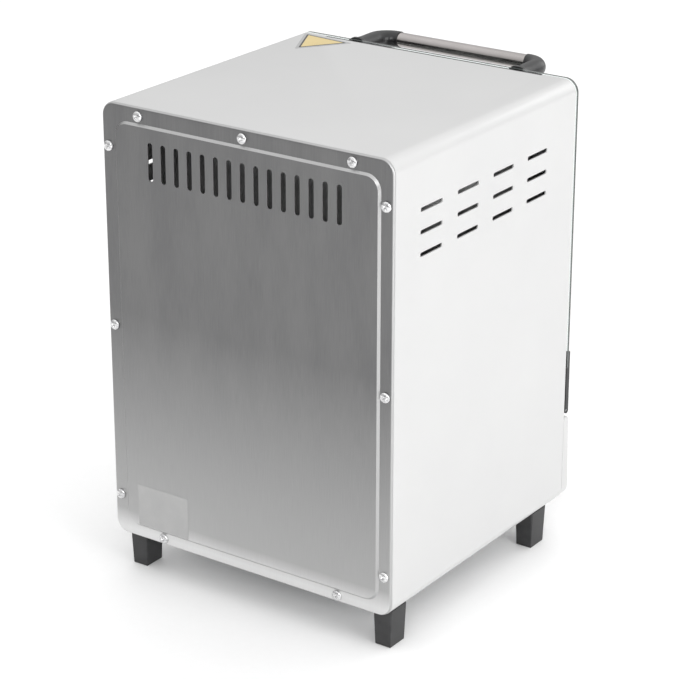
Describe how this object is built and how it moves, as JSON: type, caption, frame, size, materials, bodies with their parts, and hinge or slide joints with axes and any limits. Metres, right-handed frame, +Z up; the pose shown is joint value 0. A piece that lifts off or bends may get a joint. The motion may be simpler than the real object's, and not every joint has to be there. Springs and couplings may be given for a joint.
{
  "type": "dry heat sterilizer",
  "caption": "Tall white benchtop hot air cabinet on black feet, with a drop-down glass door, bar handle, slotted side vents, embossed rear panel and two front knobs.",
  "frame": {"origin": "on the bench, under the middle of the whole cabinet with its handle", "axes": "+X to the right seen from the front, -Y to the front, +Z up"},
  "size_m": [0.237, 0.274, 0.3497],
  "materials": {
    "white_paint": "satin powder coat",
    "rear_steel": "satin, upright grain",
    "screw_steel": "bright plated",
    "black_enamel": "semi gloss enamel",
    "liner_steel": "satin",
    "tray_aluminium": "satin",
    "element_steel": "dull oxidised",
    "clear_glass": "polished",
    "black_aluminium": "black satin coat",
    "handle_steel": "fine satin",
    "black_plastic": "semi gloss",
    "knob_plastic": "fine matt",
    "control_plastic": "plain",
    "red_lens": "clear red",
    "amber_lens": "clear amber",
    "copper_tube": "bare",
    "zinc_steel": "zinc plated",
    "silicone": "matt",
    "foot_rubber": "matt",
    "terminal_plastic": "plain"
  },
  "bodies": {
    "cabinet": {"casing": "white_paint", "rear_panel": "rear_steel", "rear_screws": "screw_steel", "front_frame": "black_enamel", "door_gasket": "silicone", "chamber": "liner_steel", "shelf_runners": "liner_steel", "shelf_tray_lower": "tray_aluminium", "shelf_tray_lower_rim": "tray_aluminium", "shelf_tray_upper": "tray_aluminium", "shelf_tray_upper_rim": "tray_aluminium", "heating_elements": "element_steel", "element_clips": "liner_steel", "element_guard": "liner_steel", "control_panel": "white_paint", "panel_nuts": "zinc_steel", "temperature_controller": "control_plastic", "temperature_nut": "zinc_steel", "timer": "control_plastic", "timer_nut": "zinc_steel", "power_lamp": "red_lens", "heating_lamp": "amber_lens", "temperature_sensor": "copper_tube", "sensor_clips": "liner_steel", "base_plate": "zinc_steel", "cord_bushing": "silicone", "terminal_block": "terminal_plastic", "foot_front_left": "foot_rubber", "foot_front_right": "foot_rubber", "foot_rear_left": "foot_rubber", "foot_rear_right": "foot_rubber", "foot_screws": "zinc_steel", "hinge_bracket_left": "zinc_steel", "hinge_bracket_right": "zinc_steel", "hinge_screws": "zinc_steel"},
    "door": {"door_glass": "clear_glass", "door_rail": "black_aluminium", "hinge_pin_left": "zinc_steel", "hinge_pin_right": "zinc_steel", "handle_tube": "handle_steel", "handle_bracket_left": "black_plastic", "handle_bracket_right": "black_plastic", "handle_screws": "screw_steel"},
    "temperature_dial": {"temperature_shaft": "zinc_steel", "temperature_knob": "knob_plastic"},
    "timer_dial": {"timer_shaft": "zinc_steel", "timer_knob": "knob_plastic"}
  },
  "joints": [
    {"name": "door_hinge", "type": "hinge", "parent": "cabinet", "child": "door", "pos_m": [0, -0.09365, 0.0997], "axis": [1, 0, 0], "range_deg": [0, 90]},
    {"name": "temperature_turn", "type": "hinge", "parent": "cabinet", "child": "temperature_dial", "pos_m": [-0.058, -0.09845, 0.06195], "axis": [0, 0.9993, -0.0375], "range_deg": [0, 270]},
    {"name": "timer_turn", "type": "hinge", "parent": "cabinet", "child": "timer_dial", "pos_m": [0.058, -0.09845, 0.06195], "axis": [0, 0.9993, -0.0375], "range_deg": [0, 300]}
  ]
}
